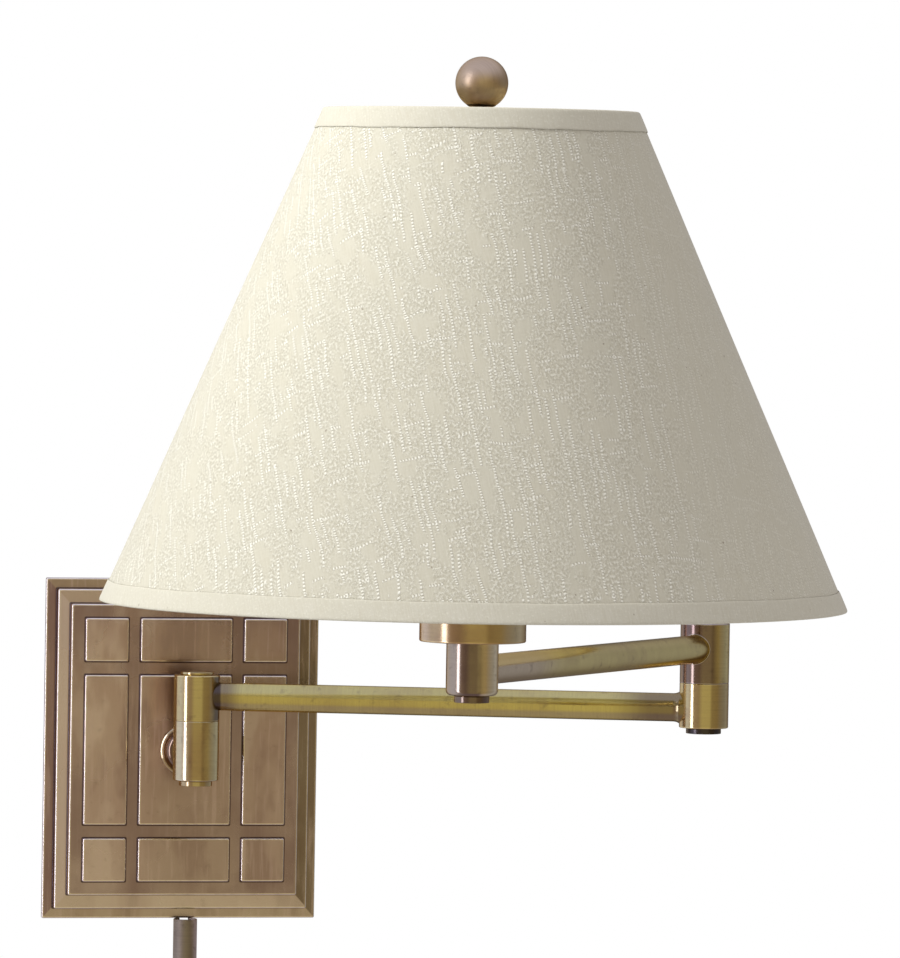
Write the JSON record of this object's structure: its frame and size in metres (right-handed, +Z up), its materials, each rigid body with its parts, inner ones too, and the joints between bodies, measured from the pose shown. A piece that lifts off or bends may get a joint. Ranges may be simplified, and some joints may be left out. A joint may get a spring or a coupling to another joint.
{
  "type": "swing arm wall sconce",
  "caption": "Wall lamp on a stepped brass plate, with a folding swing arm on upright pivots, a tapered linen shade on a harp, and a cord cover",
  "frame": {"origin": "centre of the wall plate, on the wall plane, midway between the mounting bar's two slots", "axes": "+X to the right along the wall seen from the room, +Y into the wall, +Z up; the lamp stands out along -Y"},
  "size_m": [0.3566, 0.5114, 0.7458],
  "materials": {
    "antique_brass": "antique satin, brushed, with brown patina",
    "dark_brass": "blackened",
    "finial_brass": "brown antique satin",
    "bright_brass": "bright dipped",
    "ring_wire": "white enamelled wire",
    "zinc": "zinc plated",
    "steel": "rolled",
    "phenolic": "moulded",
    "insulator": "fibre board",
    "lead": "satin flexible",
    "bulb_glass": "frosted",
    "linen": "slubby woven linen on a stiff liner",
    "linen_trim": "folded matching tape"
  },
  "bodies": {
    "wall_mount": {"backplate": "antique_brass", "mounting_bar": "steel", "rosette": "antique_brass", "stem_nipple": "zinc", "stem_washer": "zinc", "stem_nut": "bright_brass", "wall_barrel": "antique_brass", "wall_barrel_cap": "antique_brass", "wall_pivot": "zinc", "wall_pivot_nut": "bright_brass", "cord_cover": "antique_brass", "cover_clips": "steel", "lead_wall": "lead"},
    "lower_arm": {"lower_wall_barrel": "antique_brass", "lower_wall_cap": "antique_brass", "wall_friction_washer": "steel", "lower_tube": "antique_brass", "lower_elbow_barrel": "antique_brass", "lower_elbow_cap": "dark_brass", "elbow_pivot": "zinc", "elbow_pivot_nut": "bright_brass", "lead_lower": "lead"},
    "upper_arm": {"upper_elbow_barrel": "antique_brass", "upper_elbow_cap": "antique_brass", "elbow_friction_washer": "steel", "upper_tube": "antique_brass", "post_barrel": "antique_brass", "post_cap": "antique_brass", "socket_nipple": "zinc", "nipple_nut": "bright_brass", "socket_cup": "antique_brass", "harp_saddle": "bright_brass", "socket_cap": "bright_brass", "socket_shell": "bright_brass", "socket_insulator": "insulator", "socket_core": "phenolic", "screw_shell": "zinc", "centre_contact": "bright_brass", "terminal_screws": "bright_brass", "lead_upper": "lead", "harp": "bright_brass", "harp_ferrules": "bright_brass", "harp_stud": "bright_brass", "bulb_base": "zinc", "bulb_contact": "phenolic", "bulb_glass": "bulb_glass", "spider": "bright_brass", "shade_top_ring": "ring_wire", "shade_bottom_ring": "ring_wire", "shade_fabric": "linen", "shade_top_trim": "linen_trim", "shade_bottom_trim": "linen_trim", "finial": "finial_brass"},
    "switch": {"switch_shaft": "zinc", "switch_knob": "dark_brass"}
  },
  "joints": [
    {"name": "wall_swing", "type": "hinge", "parent": "wall_mount", "child": "lower_arm", "pos_m": [0, -0.049, 0.0175], "axis": [0, 0, 1], "range_deg": [-161.8, 18.2]},
    {"name": "elbow_swing", "type": "hinge", "parent": "lower_arm", "child": "upper_arm", "pos_m": [0.24699, -0.13021, 0.0428], "axis": [0, 0, 1], "range_deg": [-69.5, 260.5]},
    {"name": "switch_turn", "type": "hinge", "parent": "upper_arm", "child": "switch", "pos_m": [0.08443, -0.33312, 0.1062], "axis": [-0.6252, -0.7804, 0], "continuous": true}
  ]
}
